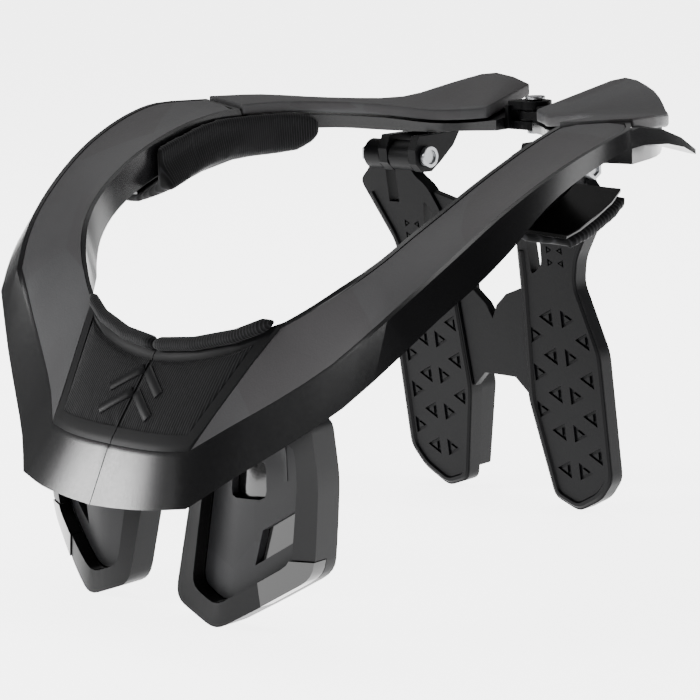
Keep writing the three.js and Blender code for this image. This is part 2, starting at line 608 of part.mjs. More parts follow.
// ---- Rear hinge on the middle line ----
const hingeY = 105.4 * ky;
const knuckleZ = [146.8, 150.2, 154.6, 158];
const leafX = 9.4 * kx - gap;
function hingeLeaf(ranges) {
  const knuckles = ranges.map(([z0, z1]) => rodZ(knuckleRadius, 0, hingeY, z0, z1));
  const arms = ranges.map(([z0, z1]) => block(1, leafX, hingeY - 6, hingeY + 6, z0, z1));
  const spine = block(leafX - 1.8, leafX, hingeY - 8, hingeY + 8, 147.2, 156.4);
  const bore = rodZ(hingePinRadius + gap, 0, hingeY, 140, 165);
  const room = rodZ(knuckleRadius + 0.5, 0, hingeY, 140, 165);
  return cut(join(...knuckles, ...arms, cut(spine, room)), bore);
}
function hingePin() {
  return join(
    rodZ(hingePinRadius, 0, hingeY, knuckleZ[0] - 0.8, knuckleZ[3] + 0.8),
    rodZ(4, 0, hingeY, knuckleZ[3] + gap, knuckleZ[3] + 1.8),
    rodZ(3.4, 0, hingeY, knuckleZ[0] - 1.8, knuckleZ[0] - gap),
  );
}

// ---- Chin latch under the seam: drawn level, then turned to the slope of the floor ----
const latchFloor = chinRun[0];
const latchCentre = lerp(latchFloor.innerLow, latchFloor.outerLow, 0.5).add(V(0, 0, -0.6)).setX(0);
const latchTilt = Math.atan2(
  latchFloor.innerLow.z - latchFloor.outerLow.z, latchFloor.innerLow.y - latchFloor.outerLow.y,
);
const latchClear = 0.5;
function ontoSlope(geometry) {
  geometry.rotateX(latchTilt);
  geometry.translate(latchCentre.x, latchCentre.y, latchCentre.z);
  return geometry;
}
const latchTop = -0.9;
const tongueHalf = 3.2;
const tongueZ = [latchTop - 4.6, latchTop - 1.6];
const buttonX = 6;
function latchSocket() {
  const body = block(seamX + 0.2, latchWidth, -latchHeight / 2, latchHeight / 2, latchTop - latchDepth, latchTop);
  const channel = block(-1, 10.4, -tongueHalf - latchClear, tongueHalf + latchClear,
    tongueZ[0] - latchClear, tongueZ[1] + latchClear);
  const hole = rodZ(buttonRadius + latchClear, buttonX, 0, latchTop - latchDepth - 2, tongueZ[0]);
  return ontoSlope(cut(body, channel, hole));
}
function latchTongue() {
  const body = block(seamX + 0.2, latchWidth, -latchHeight / 2, latchHeight / 2, latchTop - latchDepth, latchTop);
  const bar = block(-9.6, 2, -tongueHalf, tongueHalf, ...tongueZ);
  const notch = rodZ(buttonRadius + latchClear, -buttonX, 0, tongueZ[0] - 1, tongueZ[0] + 1.4);
  return ontoSlope(cut(join(body, bar), notch));
}
function latchButton() {
  return ontoSlope(rodZ(buttonRadius, buttonX, 0, latchTop - latchDepth - 1.8, tongueZ[0] - 0.2, 20));
}

// ---- Materials ----
function material(colour, roughness, metalness = 0) {
  return new THREE.MeshStandardMaterial({ color: colour, roughness, metalness });
}
const finishes = {
  chassis: material('#2b2b2d', 0.35),
  cover: material('#4a4a4c', 0.55),
  foam: material('#17181a', 0.9),
  fabric: material('#121214', 0.95),
  rim: material('#3c3c3f', 0.5),
  gloss: material('#0c0c0d', 0.15),
  nylon: material('#232325', 0.6),
  steel: material('#8a8c8e', 0.35, 1),
  paddle: material('#38383a', 0.6),
};

const brace = new THREE.Group();
function add(parent, name, geometry, finish) {
  const mesh = new THREE.Mesh(geometry, finishes[finish]);
  mesh.name = name;
  parent.add(mesh);
}

// Pieces that both sides have, drawn for the wearer's left.
const sidedPieces = [
  ['chassis', chassis(), 'chassis'],
  ['foam_core', foamCore(), 'foam'],
  ['top_cover', topCover(), 'cover'],
  ['chin_rim', chinRim(), 'rim'],
  ['chin_pad', chinPad(), 'fabric'],
  ['rear_table', rearTable(), 'cover'],
  ['shoulder_pad', shoulderPad(), 'fabric'],
  ['shoulder_shell', shoulderShell(), 'gloss'],
  ['strut_lug', lug(), 'nylon'],
  ['strut_bolt', legBolt(), 'steel'],
  ['strut_bush_inner', legBush(barrelInner + gap, slotX[0] - gap), 'gloss'],
  ['strut_bush_outer', legBush(slotX[1] + gap, legOuter - gap), 'gloss'],
  ['strut_leg', leg(), 'nylon'],
  ['paddle_bracket', paddleBracket(), 'nylon'],
  ['paddle_pin', paddlePin(), 'steel'],
  ['paddle_plate', paddlePlate(), 'paddle'],
  ['paddle_liner', paddleLiner(), 'gloss'],
  ['paddle_rim', paddleRim(), 'rim'],
  ['paddle_clip', paddleClip(), 'gloss'],
];
for (const [side, flip] of [['left', 1], ['right', -1]]) {
  const half = new THREE.Group();
  half.scale.x = flip;
  brace.add(half);
  for (const [name, geometry, finish] of sidedPieces) {
    add(half, `${side}_${name}`, geometry, finish);
  }
}

const rightSide = new THREE.Group();
rightSide.scale.x = -1;
brace.add(rightSide);
add(brace, 'left_hinge_leaf', hingeLeaf([[knuckleZ[1] + gap, knuckleZ[2] - gap]]), 'nylon');
add(rightSide, 'right_hinge_leaf', hingeLeaf([[knuckleZ[0], knuckleZ[1]], [knuckleZ[2], knuckleZ[3]]]), 'nylon');
add(brace, 'hinge_pin', hingePin(), 'steel');
add(brace, 'latch_socket', latchSocket(), 'nylon');
add(rightSide, 'latch_tongue', latchTongue(), 'nylon');
add(brace, 'latch_button', latchButton(), 'gloss');
add(brace, 'strut_web', strutWeb(), 'nylon');
add(brace, 'strut_cross_link', crossLink(), 'nylon');

// The brace stands on its feet, with its box centred on the origin.
const box = new THREE.Box3().setFromObject(brace, true);
brace.position.set(0, -(box.min.y + box.max.y) / 2, -box.min.z);

export default brace;
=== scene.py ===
# Looks of a rigid neck brace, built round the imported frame: moulded shells, grained skins and ribbed pads.
import json
import math

import bmesh
import bpy
from mathutils import Euler, Matrix, Vector
from mathutils.bvhtree import BVHTree


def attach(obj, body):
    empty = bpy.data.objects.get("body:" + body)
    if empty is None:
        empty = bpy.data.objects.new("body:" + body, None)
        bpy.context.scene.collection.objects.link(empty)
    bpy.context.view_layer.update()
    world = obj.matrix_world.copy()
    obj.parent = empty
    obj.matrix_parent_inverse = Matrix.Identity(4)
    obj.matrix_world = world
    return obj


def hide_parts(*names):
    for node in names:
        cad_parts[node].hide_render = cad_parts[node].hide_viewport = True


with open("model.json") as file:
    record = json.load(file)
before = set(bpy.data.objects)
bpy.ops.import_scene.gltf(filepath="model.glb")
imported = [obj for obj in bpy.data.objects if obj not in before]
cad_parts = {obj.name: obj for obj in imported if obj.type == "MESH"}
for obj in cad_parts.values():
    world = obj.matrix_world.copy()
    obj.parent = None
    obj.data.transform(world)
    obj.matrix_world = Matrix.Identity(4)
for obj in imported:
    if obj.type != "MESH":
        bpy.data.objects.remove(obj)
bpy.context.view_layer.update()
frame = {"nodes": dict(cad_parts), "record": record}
MM = 0.001
SIDES = {"left": 1, "right": -1}
BODY_OF = {node: body for body, nodes in frame["record"]["behaviour"]["bodies"].items() for node in nodes}
SLOT_OF = {part["node"]: part["material_slot"] for part in frame["record"]["subparts"]}
PART_SHIFT = Vector((0, 3.194, -0.272))      # millimetres, from the part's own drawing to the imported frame


# ---- Small tools ----
def linear(hex_colour):
    """sRGB hex to the linear colour that a shader socket wants."""
    parts = [int(hex_colour[i:i + 2], 16) / 255 for i in (1, 3, 5)]
    return tuple(p / 12.92 if p <= 0.04045 else ((p + 0.055) / 1.055) ** 2.4 for p in parts) + (1.0,)


def add(tree, kind, settings=None, links=None, **inputs):
    """Adds a node; settings are its properties, inputs its socket values, links its incoming sockets."""
    node = tree.nodes.new(kind)
    for key, value in (settings or {}).items():
        setattr(node, key, value)
    for key, value in inputs.items():
        node.inputs[key.replace("_", " ")].default_value = value
    for key, source in (links or {}).items():
        tree.links.new(source, node.inputs[key])
    return node


def link(name, data):
    """Puts a new object with this data into the scene."""
    thing = bpy.data.objects.new(name, data)
    bpy.context.collection.objects.link(thing)
    return thing


def finished(work, name):
    """Turns a bmesh into a mesh of its own."""
    mesh = bpy.data.meshes.new(name)
    work.to_mesh(mesh)
    work.free()
    return mesh


def placed(side, x, y, z):
    """A point of the left side's drawing, in millimetres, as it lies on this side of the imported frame."""
    return (Vector((SIDES[side] * x, y, z)) + PART_SHIFT) * MM


def new_material(name):
    mat = bpy.data.materials.new(name)
    mat.use_nodes = True
    mat.node_tree.nodes.clear()
    return mat, mat.node_tree


def close_material(tree, **sockets):
    """Principled shader with its sockets set to values or linked to outputs."""
    shader = add(tree, "ShaderNodeBsdfPrincipled")
    for key, value in sockets.items():
        socket = shader.inputs[key.replace("_", " ")]
        if isinstance(value, bpy.types.NodeSocket):
            tree.links.new(value, socket)
        else:
            socket.default_value = value
    add(tree, "ShaderNodeOutputMaterial", links={"Surface": shader.outputs["BSDF"]})


# ---- Camera, light and floor ----
CAMERA_PLACE = Vector((0.6191, -0.6155, 0.2456))
CAMERA_AZIMUTH = 45.16
CAMERA_ELEVATION = 11.06
CAMERA_ROLL = -2.15
CAMERA_LENS = 123.4
FLOOR_REACH = 6.0            # metres each way, so that its edge stays out of view
FLOOR_DROP = 0.5             # millimetres below the feet
FLOOR_GLOW = 4.5             # a light table: the brace stands on lit white acrylic
TO_BACKDROP = (-0.71, 0.70, 0.0)             # from the camera towards what is behind the brace


def make_camera():
    data = bpy.data.cameras.new("camera")
    data.lens = CAMERA_LENS
    data.clip_start = 0.01
    camera = link("camera", data)
    aim = Euler((math.radians(90 - CAMERA_ELEVATION), 0, math.radians(CAMERA_AZIMUTH))).to_matrix()
    turn = Matrix.Rotation(math.radians(CAMERA_ROLL), 3, "Z")
    camera.matrix_world = Matrix.Translation(CAMERA_PLACE) @ (aim @ turn).to_4x4()
    bpy.context.scene.camera = camera


def soft_light(name, place, size, power, aim=(0, 0, 0.1)):
    data = bpy.data.lights.new(name, "AREA")
    data.shape = "RECTANGLE"
    data.size, data.size_y = size
    data.energy = power
    light = link(name, data)
    light.location = place
    light.rotation_euler = (Vector(aim) - Vector(place)).to_track_quat("-Z", "Y").to_euler()


def make_sky():
    """Dim room, a little lighter behind the brace, so dark plastic keeps its contrast."""
    world = bpy.data.worlds.new("studio")
    world.use_nodes = True
    tree = world.node_tree
    tree.nodes.clear()
    place = add(tree, "ShaderNodeTexCoord")
    facing = add(tree, "ShaderNodeVectorMath", {"operation": "DOT_PRODUCT"},
                 {0: place.outputs["Generated"]})
    facing.inputs[1].default_value = TO_BACKDROP
    ramp = add(tree, "ShaderNodeMapRange", links={"Value": facing.outputs["Value"]},
               From_Min=-0.4, From_Max=0.8, To_Min=0.1, To_Max=0.3)
    sky = add(tree, "ShaderNodeBackground", links={"Strength": ramp.outputs["Result"]}, Color=linear("#ffffff"))
    add(tree, "ShaderNodeOutputWorld", links={"Surface": sky.outputs["Background"]})
    bpy.context.scene.world = world


def make_floor():
    mesh = bpy.data.meshes.new("floor")
    r = FLOOR_REACH
    mesh.from_pydata([(-r, -r, 0), (r, -r, 0), (r, r, 0), (-r, r, 0)], [], [(0, 1, 2, 3)])
    floor = link("floor", mesh)
    floor.location.z = -FLOOR_DROP * MM
    mat, tree = new_material("pale_floor")
    speck = add(tree, "ShaderNodeTexNoise", Scale=40.0, Detail=2.0)
    tone = add(tree, "ShaderNodeValToRGB", links={"Fac": speck.outputs["Fac"]})
    tone.color_ramp.elements[0].color = linear("#fafafa")
    tone.color_ramp.elements[1].color = linear("#ffffff")
    close_material(tree, Base_Color=tone.outputs["Color"], Roughness=0.95, Emission_Strength=FLOOR_GLOW,
                   Emission_Color=linear("#ffffff"))
    mesh.materials.append(mat)


make_camera()
make_sky()
make_floor()
# Places and sizes in metres, powers in watts.
soft_light("overhead", (-0.5, 0.2, 1.5), (1.2, 1.2), 17)
# Stands where the front fascia mirrors it to the camera, so that facet shines.
soft_light("fascia_softbox", (-0.87, -0.8, 0.5), (0.3, 0.22), 10, (0.02, -0.12, 0.06))
soft_light("side_strip", (1.2, 0.5, 0.7), (0.3, 0.9), 8)


# ---- Materials ----
def tone_ramp(tree, fac, *stops):
    """Colour ramp from pairs of position and hex colour."""
    ramp = add(tree, "ShaderNodeValToRGB", links={"Fac": fac})
    for index, (place, colour) in ((0, stops[0]), (1, stops[-1])):
        ramp.color_ramp.elements[index].position = place
        ramp.color_ramp.elements[index].color = linear(colour)
    for place, colour in stops[1:-1]:
        ramp.color_ramp.elements.new(place).color = linear(colour)
    return ramp.outputs["Color"]


PLASTIC_IOR = 1.5
CLOUD_SCALE = 22.0           # clouds of about 45 mm in the colour of a moulding
GRAIN_DEPTH = 0.25           # depth of the grain as a share of its width


def moulded(name, colours, grain_mm, roughness, bump, specular, patches_and_facet_shading=None):
    """A moulded plastic: cloudy colour, pebbled grain of a real size and roughness that follows the grain.
    Facets are broad flat patches of a second tone, colour and scale: on the skin the patches a polygon-textured
    mould leaves, on the paddle plate painted facet shading."""
    mat, tree = new_material(name)
    place = add(tree, "ShaderNodeTexCoord").outputs["Object"]
    cloud = add(tree, "ShaderNodeTexNoise", links={"Vector": place}, Scale=CLOUD_SCALE, Detail=3.0)
    grain = add(tree, "ShaderNodeTexNoise", links={"Vector": place}, Scale=1 / (grain_mm * MM), Detail=3.0)
    colour = tone_ramp(tree, cloud.outputs["Fac"], (0.35, colours[0]), (0.7, colours[1]))
    # Second-tone patches: on the paddle plate these are painted facet shading.
    if patches_and_facet_shading:
        cell = add(tree, "ShaderNodeTexVoronoi", links={"Vector": place}, Scale=patches_and_facet_shading[1])
        shade = add(tree, "ShaderNodeMapRange", links={"Value": cell.outputs["Color"]},
                    From_Min=0.2, From_Max=0.9, To_Min=0.0, To_Max=0.55)
        colour = add(tree, "ShaderNodeMix", {"data_type": "RGBA"},
                     {"Factor": shade.outputs["Result"], 6: colour}).outputs[2]
        colour.node.inputs[7].default_value = linear(patches_and_facet_shading[0])
    rough = add(tree, "ShaderNodeMapRange", links={"Value": grain.outputs["Fac"]},
                To_Min=roughness[0], To_Max=roughness[1])
    relief = add(tree, "ShaderNodeBump", links={"Height": grain.outputs["Fac"]},
                 Strength=bump, Distance=grain_mm * GRAIN_DEPTH * MM)
    close_material(tree, Base_Color=colour, Roughness=rough.outputs["Result"], IOR=PLASTIC_IOR,
                   Specular_IOR_Level=specular, Normal=relief.outputs["Normal"])
    return mat


RIB_PITCH = 1.05             # millimetres; real ribs are about 0.8, drawn a little coarser so that they show
RIB_HEIGHT = 0.16
RING_RADIUS = 85             # millimetres from the neck's axis to the shoulder pads
FIBRE_SCALE = 2600.0         # fibres of about 0.4 mm
FUZZ_SHARE = 0.25            # height of the fibre fuzz against that of a rib


def ribbed_knit(name, along):
    """Black ribbed knit over foam: fine ridges with fibre fuzz, coloured lighter on each crest and darker in the
    grooves as a painted highlight and painted shade.
    The ribs run round the neck's axis or straight across the brace."""
    mat, tree = new_material(name)
    place = add(tree, "ShaderNodeTexCoord").outputs["Object"]
    axis = add(tree, "ShaderNodeSeparateXYZ", links={"Vector": place})
    if along == "round":
        turn = add(tree, "ShaderNodeMath", {"operation": "ARCTAN2"},
                   {0: axis.outputs["Y"], 1: axis.outputs["X"]}).outputs["Value"]
        rate = 2 * math.pi * RING_RADIUS / RIB_PITCH
    else:
        turn, rate = axis.outputs["X"], 2 * math.pi / (RIB_PITCH * MM)
    phase = add(tree, "ShaderNodeMath", {"operation": "MULTIPLY"}, {0: turn})
    phase.inputs[1].default_value = rate
    wave = add(tree, "ShaderNodeMath", {"operation": "SINE"}, {0: phase.outputs["Value"]})
    ridge = add(tree, "ShaderNodeMapRange", links={"Value": wave.outputs["Value"]},
                From_Min=-1.0, From_Max=1.0)
    fuzz = add(tree, "ShaderNodeTexNoise", links={"Vector": place}, Scale=FIBRE_SCALE, Detail=2.0)
    # Painted highlight and painted shade: the colour follows the ridge, dark in the grooves and lighter on the
    # crests.
    colour = tone_ramp(tree, ridge.outputs["Result"], (0.2, "#030304"), (0.75, "#090909"), (1.0, "#1e1e20"))
    height = add(tree, "ShaderNodeMath", {"operation": "MULTIPLY_ADD"},
                 {0: fuzz.outputs["Fac"], 2: ridge.outputs["Result"]})
    height.inputs[1].default_value = FUZZ_SHARE
    relief = add(tree, "ShaderNodeBump", links={"Height": height.outputs["Value"]}, Strength=0.6,
                 Distance=RIB_HEIGHT * MM)
    rough = add(tree, "ShaderNodeMapRange", links={"Value": fuzz.outputs["Fac"]},
                To_Min=0.62, To_Max=0.85)
    close_material(tree, Base_Color=colour, Roughness=rough.outputs["Result"], Normal=relief.outputs["Normal"],
                   Specular_IOR_Level=0.12, Sheen_Weight=0.05, Sheen_Roughness=0.4)
    return mat


def turned_steel():
    """Turned steel screw: fine lathe rings and a slightly blurred mirror."""
    mat, tree = new_material("turned_steel")
    place = add(tree, "ShaderNodeTexCoord").outputs["Object"]
    rings = add(tree, "ShaderNodeTexWave", {"wave_type": "RINGS"}, {"Vector": place},
                Scale=900.0, Distortion=0.4)
    colour = tone_ramp(tree, rings.outputs["Fac"], (0.0, "#77787a"), (1.0, "#97989a"))
    rough = add(tree, "ShaderNodeMapRange", links={"Value": rings.outputs["Fac"]}, To_Min=0.26, To_Max=0.4)
    close_material(tree, Base_Color=colour, Roughness=rough.outputs["Result"], Metallic=1.0)
    return mat


# Name, two colours, grain in millimetres, roughness range, bump, specular level and any second-tone patches
# (mould patches on the skin, painted facet shading on the paddle plate).
MATERIALS = {
    # Injection moulded nylon with a satin finish: soft clear highlights and a faint orange peel.
    "satin_shell": moulded("moulded_nylon_satin", ("#070708", "#0c0c0d"), 1.1, (0.2, 0.28), 0.02, 0.32),
    # Thermoplastic elastomer skin, spark-eroded mould: fine even grain, polygon patches of a warmer grey.
    "cover_skin": moulded("grained_elastomer_skin", ("#343435", "#3b3b3c"), 0.7, (0.46, 0.58), 0.3, 0.18,
                          ("#2a2627", 24.0)),
    # Moulded bead foam, closed cells of about two millimetres: dull and pitted.
    "foam": moulded("bead_foam", ("#121214", "#1b1b1d"), 2.0, (0.8, 0.95), 0.8, 0.2),
    # Soft-touch rubbered border: broad dull highlight.
    "soft_grey": moulded("soft_touch_rubber", ("#0b0b0c", "#111112"), 0.6, (0.34, 0.46), 0.15, 0.12),
    # Polished moulded black: sharp reflection, barely any grain. Also laid on the paddle rims' inner walls as
    # painted shade.
    "gloss_black": moulded("polished_black", ("#050505", "#090909"), 1.5, (0.08, 0.16), 0.03, 0.5),
    # Glass-filled nylon, as moulded: dull black with pale flow clouds and a fine pebble.
    "nylon": moulded("glass_filled_nylon", ("#030304", "#060607"), 0.8, (0.38, 0.5), 0.2, 0.07),
    # Paddle plate: matte dark grey with broad lighter facets painted on, painted facet shading standing in for
    # the light on a creased plate.
    "paddle_grey": moulded("matte_grey_nylon", ("#161617", "#1c1c1d"), 0.6, (0.4, 0.5), 0.2, 0.16,
                           ("#28282a", 30.0)),
    "steel": turned_steel(),
}
SHOULDER_KNIT = ribbed_knit("ribbed_knit_shoulder", "round")
CHIN_KNIT = ribbed_knit("ribbed_knit_chin", "across")


# ---- Pieces from the frame: welded, edges rounded, sharp corners kept ----
WELD_REACH = 0.004           # millimetres
COPLANAR = 0.5               # degrees between triangles that count as one flat face
COPLANAR_CURVED = 0.04       # the same on the twisted paddles and the pads, which have no flat faces
BEVEL_FROM = 26              # degrees; flatter edges are left alone
SHARP_FROM = 34
STRIP_SHARP_FROM = {"border": 28, "chevron": 30}


def put(name, mesh, body, material):
    """A new piece that rides on its body and shows one material."""
    piece = link(name, mesh)
    mesh.materials.clear()
    mesh.materials.append(material)
    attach(piece, body)
    return piece


def welded(node, flatten):
    """The node's mesh as one skin, with coplanar triangles joined."""
    work = bmesh.new()
    work.from_mesh(frame["nodes"][node].data)
    bmesh.ops.remove_doubles(work, verts=work.verts, dist=WELD_REACH * MM)
    bmesh.ops.dissolve_limit(work, angle_limit=math.radians(flatten), verts=work.verts, edges=work.edges)
    return finished(work, node + "_refined")


def baked(piece):
    """Applies the piece's modifiers, so the mesh is final."""
    graph = bpy.context.evaluated_depsgraph_get()
    mesh = bpy.data.meshes.new_from_object(piece.evaluated_get(graph))
    piece.modifiers.clear()
    piece.data = mesh


def soften(piece, width):
    """Rounds the sharp edges and keeps the flat faces flat to the eye."""
    edge = piece.modifiers.new("edge", "BEVEL")
    edge.width = width * MM
    edge.segments = 2
    edge.limit_method = "ANGLE"
    edge.angle_limit = math.radians(BEVEL_FROM)
    edge.harden_normals = False
    piece.data.shade_smooth()
    baked(piece)
    piece.data.shade_smooth()
    piece.data.set_sharp_from_angle(angle=math.radians(SHARP_FROM))
    weight = piece.modifiers.new("weight", "WEIGHTED_NORMAL")
    weight.keep_sharp = True
    baked(piece)


EDGE_ROUNDING = {            # millimetres
    "chassis": 0.5, "top_cover": 0.5, "chin_rim": 0.6, "rear_table": 0.9, "foam_core": 0.6,
    "shoulder_shell": 0.3,
    "strut_lug": 0.5, "strut_bolt": 0.5, "strut_bush_inner": 0.3, "strut_bush_outer": 0.3, "strut_leg": 0.6,
    "strut_web": 0.5, "strut_cross_link": 0.5,
    "paddle_bracket": 0.4, "paddle_pin": 0.3, "paddle_plate": 0.4, "paddle_liner": 0.15, "paddle_rim": 0.9,
    "paddle_clip": 0.5,
    "hinge_leaf": 0.4, "hinge_pin": 0.4, "latch_socket": 0.6, "latch_tongue": 0.6, "latch_button": 0.4,
}
SOFT_NODES = ("chin_pad", "shoulder_pad")


def kind_of(node):
    """The node's name without its side."""
    return node.split("_", 1)[1] if node.split("_")[0] in SIDES else node


# ---- Grip pockets in the face of the struts: two zig-zag columns of triangles ----
LEG_OUTLINE = [(14.8, 44), (17.6, 90), (18, 108), (20.4, 117), (26, 126.4), (33, 131.2), (35, 140),
               (55.6, 140), (55.6, 133), (62.4, 127), (47.6, 103), (45.4, 93), (54, 66), (53.4, 15),
               (47, 6.6), (34.6, -0.3), (22.8, 4.2)]
LEG_FACE_Y = 67.0            # front of a strut at the height of its pivot
LEG_PIVOT_Z = 138.0
LEG_LEAN = 0.14              # back for each millimetre down
# Where the triangles go: rows from the top one down, two columns, each row stepping left or right by turns.
GRIP_TOP, GRIP_PITCH, GRIP_ROWS = 86, 7.7, 12
GRIP_COLUMNS = (26.4, 43.2)
GRIP_SIZE, GRIP_STEP, GRIP_DEPTH = 7.2, 3.0, 0.9
SMALL_GRIP_SIZE = 3.0        # two short columns of small ones by the strut's neck
SMALL_GRIP_ROWS = (100.5, 105.5, 110.5)
SMALL_GRIP_COLUMNS = ((34, 1), (39, -1))
GRIP_MARGIN = 3.6            # clear of the border along the outline
ISLAND_SHARE = 0.42          # the triangle left standing inside each groove
CUTTER_OVERSHOOT = 1.0       # millimetres that a cutter stands out of the face


def on_leg(side, x, z, out=0.0):
    """Point on the front face of a strut, standing out of it by so many millimetres."""
    return placed(side, x, LEG_FACE_Y + (LEG_PIVOT_Z - z) * LEG_LEAN - out, z)


def edge_room(x, z, outline):
    """Distance to the nearest edge of the outline, negative outside it."""
    inside, room = False, math.inf
    for (ax, az), (bx, bz) in zip(outline, outline[1:] + outline[:1]):
        along = Vector((bx - ax, bz - az))
        t = max(0.0, min(1.0, (Vector((x - ax, z - az)).dot(along)) / along.length_squared))
        room = min(room, (Vector((x, z)) - Vector((ax, az)) - along * t).length)
        if (az > z) != (bz > z) and x < ax + (z - az) * (bx - ax) / (bz - az):
            inside = not inside
    return room if inside else -room


def grip_triangles():
    """Centre, way it points and size of every grip triangle on a strut."""
    spots = []
    for k in range(GRIP_ROWS):
        z = GRIP_TOP - GRIP_PITCH * k
        drift = -0.07 * (z - 15) * (0.6 if z < 44 else 0.2)      # the columns follow the strut's slant
        for x, phase in zip(GRIP_COLUMNS, (0, 1)):
            way = -1 if (k + phase) % 2 else 1
            spots.append((x + drift - way * GRIP_STEP, z, way, GRIP_SIZE))
    spots += [(x, z, way, SMALL_GRIP_SIZE) for z in SMALL_GRIP_ROWS for x, way in SMALL_GRIP_COLUMNS]
    return [s for s in spots if edge_room(s[0], s[1], LEG_OUTLINE) > GRIP_MARGIN + s[3] * 0.28]


def triangle(x, z, way, size):
    """Corners of a triangle that points along x, a little less deep than wide."""
    half = size / 2
    return [(x - way * half * 0.9, z + half), (x - way * half * 0.9, z - half), (x + way * half * 0.95, z)]


def pocket_cutter(side):
    """Ring-shaped pockets: a groove round an island of the same triangle."""
    work = bmesh.new()
    for x, z, way, size in grip_triangles():
        outer = triangle(x, z, way, size)
        inner = triangle(x - way * size * 0.03, z, way, size * ISLAND_SHARE)
        loops = []
        for outline, level in ((outer, CUTTER_OVERSHOOT), (outer, -GRIP_DEPTH),
                               (inner, -GRIP_DEPTH), (inner, CUTTER_OVERSHOOT)):
            loops.append([work.verts.new(on_leg(side, px, pz, level)) for px, pz in outline])
        for one, two in zip(loops, loops[1:] + loops[:1]):
            for i in range(3):
                j = (i + 1) % 3
                work.faces.new((one[i], one[j], two[j], two[i]))
    bmesh.ops.recalc_face_normals(work, faces=work.faces)
    return link("pockets", finished(work, "pockets"))


def cut_away(piece, cutter):
    """Takes the cutter's shape out of the piece and drops the cutter."""
    boolean = piece.modifiers.new("cut", "BOOLEAN")
    boolean.operation = "DIFFERENCE"
    boolean.solver = "EXACT"
    boolean.object = cutter
    baked(piece)
    bpy.data.objects.remove(cutter)


BOLT_HEAD_AREA = 25          # square millimetres; only the ends of the bolt are larger
HEAD_WALL, HEAD_DEPTH = 1.4, 0.9


def hollow_head(piece):
    """Presses a driver recess into the flat ends of a screw."""
    work = bmesh.new()
    work.from_mesh(piece.data)
    heads = [f for f in work.faces if abs(f.normal.x) > 0.95 and f.calc_area() > BOLT_HEAD_AREA * MM * MM]
    bmesh.ops.inset_individual(work, faces=heads, thickness=HEAD_WALL * MM)
    for face in heads:
        moved = bmesh.ops.extrude_discrete_faces(work, faces=[face])["faces"][0]
        bmesh.ops.translate(work, verts=moved.verts, vec=-moved.normal * HEAD_DEPTH * MM)
    work.to_mesh(piece.data)
    work.free()


PADDLE_MIDDLE = (42, 0, 38)  # millimetres, inside the rim


def paint_recess_shade(piece, side):
    """The inner walls of a paddle's rim get the polished black material as painted shade, so the plate seems to
    float in a dark channel.
    """
    piece.data.materials.append(MATERIALS["gloss_black"])
    x, y, z = PADDLE_MIDDLE
    middle = Vector((SIDES[side] * x, y, z)) * MM
    for face in piece.data.polygons:
        inward = middle - face.center
        flat = Vector((face.normal.x, 0, face.normal.z))
        if flat.length > 0.8 and flat.dot(Vector((inward.x, 0, inward.z))) > 0:
            face.material_index = 1


for node in frame["nodes"]:
    kind = kind_of(node)
    if kind in SOFT_NODES:
        continue
    slot = SLOT_OF[node]
    side = node.split("_")[0]
    mesh = welded(node, COPLANAR_CURVED if "paddle" in kind else COPLANAR)
    piece = put("fine_" + node, mesh, BODY_OF[node], MATERIALS[slot])
    if kind == "strut_leg":
        cut_away(piece, pocket_cutter(side))
    if kind == "strut_bolt":
        hollow_head(piece)
    soften(piece, EDGE_ROUNDING[kind])
    # Painted shade: the rim's inner walls are coloured polished black, where the recess falls in shadow.
    if kind == "paddle_rim":
        paint_recess_shade(piece, side)
    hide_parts(node)


# ---- Raised border round the face of a strut ----
def curved(points, radius, steps):
    """The path with every inner corner turned into a short curve."""
    path = [Vector(points[0])]
    for before, here, after in zip(points, points[1:], points[2:]):
        before, here, after = Vector(before), Vector(here), Vector(after)
        reach_in = min(radius, (here - before).length * 0.45)
        reach_out = min(radius, (after - here).length * 0.45)
        start = here + (before - here).normalized() * reach_in
        end = here + (after - here).normalized() * reach_out
        for k in range(steps + 1):
            t = k / steps
            path.append(start * (1 - t) ** 2 + here * 2 * t * (1 - t) + end * t * t)
    return path + [Vector(points[-1])]


def skin(name, rings):
    """Closed skin through rings of equal length, capped at both ends."""
    work = bmesh.new()
    loops = [[work.verts.new(p) for p in ring] for ring in rings]
    for one, two in zip(loops, loops[1:]):
        for i in range(len(one)):
            j = (i + 1) % len(one)
            work.faces.new((one[i], one[j], two[j], two[i]))
    work.faces.new(loops[0])
    work.faces.new(loops[-1])
    bmesh.ops.recalc_face_normals(work, faces=work.faces)
    return finished(work, name)


BORDER_PATH = [(17.9, 104), (17.6, 90), (14.8, 44), (22.8, 4.2), (34.6, -0.3), (47, 6.6), (53.4, 15),
               (54, 66), (45.4, 93), (47.6, 103), (58.4, 121)]
# Distance inwards from the outline and height over the face.
BORDER_PROFILE = [(0.5, -0.3), (0.6, 0.2), (1.4, 0.9), (2.7, 0.9), (3.5, -0.3)]
BORDER_BEND = 4.0


def border(side):
    """A bevelled band laid along the outline of a strut."""
    path = curved(BORDER_PATH, BORDER_BEND, 5)
    rings = []
    for i, here in enumerate(path):
        way = (path[min(i + 1, len(path) - 1)] - path[max(i - 1, 0)]).normalized()
        inward = Vector((-way.y, way.x))
        rings.append([on_leg(side, *(here + inward * step), rise) for step, rise in BORDER_PROFILE])
    return skin("strut_border", rings)


for side in SIDES:
    band = put(f"{side}_strut_border", border(side), f"{side}_leg", MATERIALS["nylon"])
    band.data.shade_smooth()
    band.data.set_sharp_from_angle(angle=math.radians(STRIP_SHARP_FROM["border"]))


# ---- Padded pieces: divided finely, blown up as cloth, then smoothed ----
CLOTH_FRAMES = 20
CLOTH_PRESSURE = 4.0


